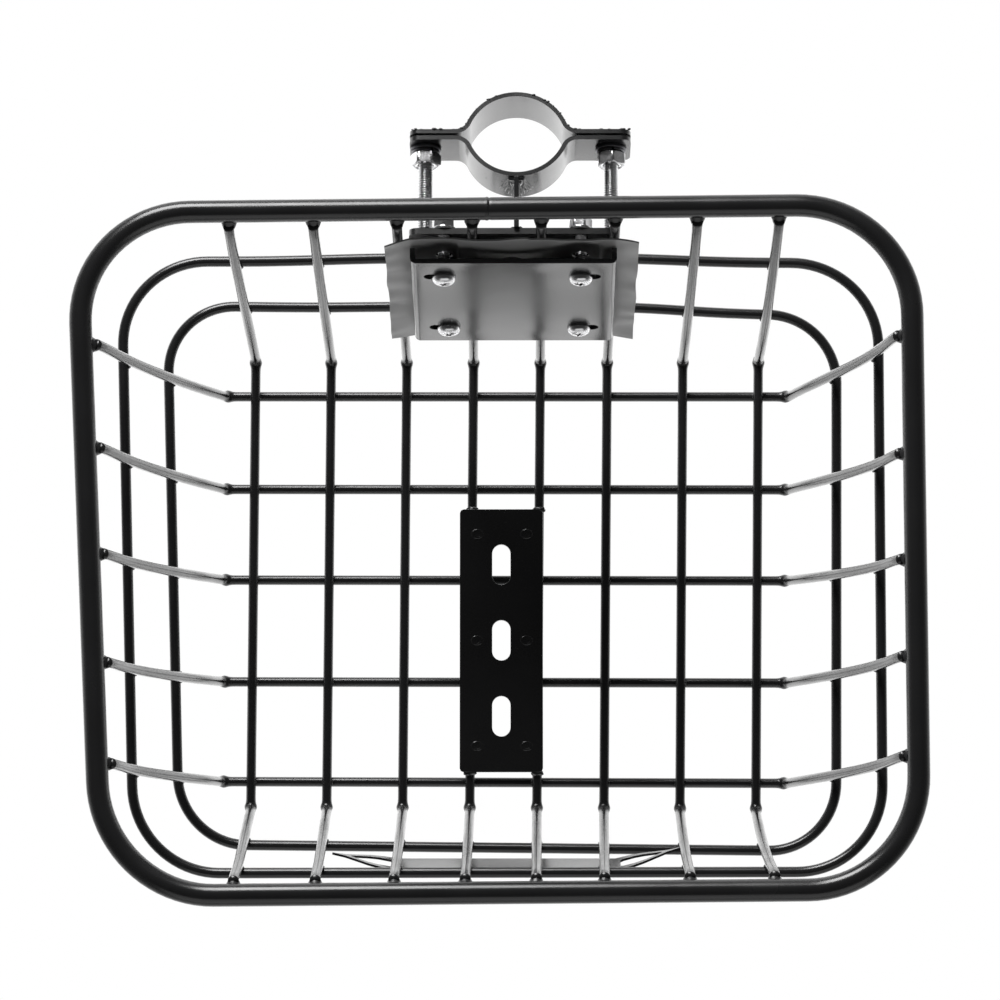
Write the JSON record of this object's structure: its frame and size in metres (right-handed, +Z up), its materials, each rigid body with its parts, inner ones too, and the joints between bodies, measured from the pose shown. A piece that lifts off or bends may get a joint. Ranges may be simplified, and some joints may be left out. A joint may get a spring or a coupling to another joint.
{
  "type": "handlebar basket",
  "caption": "Black wire handlebar basket with a thick rim tube, thin rings round its walls, a slotted floor plate, a plate clamp on the rear wall and a bolted stem clamp.",
  "frame": {"origin": "middle of the bottom of the whole object's box, on the floor that the basket stands on", "axes": "+X to the right along the basket's width, +Y from the basket's front towards the bicycle and the clamp, +Z up"},
  "size_m": [0.3294, 0.3252, 0.1702],
  "materials": {
    "black_paint": "gloss black powder coat with a light orange peel",
    "zinc": "bright zinc plate",
    "rubber": "thin black rubber sheet, semi-matte and creased"
  },
  "bodies": {
    "basket": {"rim_tube": "black_paint", "upper_ring": "black_paint", "lower_ring": "black_paint", "long_wire_1": "black_paint", "long_wire_2": "black_paint", "long_wire_3": "black_paint", "long_wire_4": "black_paint", "long_wire_5": "black_paint", "long_wire_6": "black_paint", "long_wire_7": "black_paint", "long_wire_8": "black_paint", "cross_wire_1": "black_paint", "cross_wire_2": "black_paint", "cross_wire_3": "black_paint", "cross_wire_4": "black_paint", "cross_wire_5": "black_paint", "stay_plate": "black_paint", "front_plate": "black_paint", "bracket_plate": "black_paint", "bracket_web": "black_paint", "clamp_strap_inner": "black_paint", "inner_channel": "black_paint", "plate_screw_1": "zinc", "plate_screw_2": "zinc", "plate_screw_3": "zinc", "plate_screw_4": "zinc", "plate_washer_1": "zinc", "plate_washer_2": "zinc", "plate_washer_3": "zinc", "plate_washer_4": "zinc", "plate_nut_1": "zinc", "plate_nut_2": "zinc", "plate_nut_3": "zinc", "plate_nut_4": "zinc", "clamp_washer_left": "zinc", "clamp_lock_washer_left": "zinc", "clamp_washer_right": "zinc", "clamp_lock_washer_right": "zinc", "rubber_pad": "rubber"},
    "clamp_cap": {"clamp_strap_outer": "black_paint", "clamp_bolt_left": "zinc", "clamp_bolt_right": "zinc"},
    "nut_left": {"clamp_nut_left": "zinc"},
    "nut_right": {"clamp_nut_right": "zinc"}
  },
  "joints": [
    {"name": "clamp_open", "type": "slide", "parent": "basket", "child": "clamp_cap", "axis": [0, 0.9808, -0.1949], "range_m": [0, 0.0215]},
    {"name": "nut_left_turn", "type": "hinge", "parent": "basket", "child": "nut_left", "pos_m": [-0.0308, 0.13424, 0.12521], "axis": [0, -0.9808, 0.1949], "range_deg": [0, 7740]},
    {"name": "nut_right_turn", "type": "hinge", "parent": "basket", "child": "nut_right", "pos_m": [0.0434, 0.13424, 0.12521], "axis": [0, -0.9808, 0.1949], "range_deg": [0, 7740]}
  ],
  "couplings": [
    {"joint": "nut_left_turn", "follows": "clamp_open", "rad_per_m": 6283.2},
    {"joint": "nut_right_turn", "follows": "clamp_open", "rad_per_m": 6283.2}
  ]
}
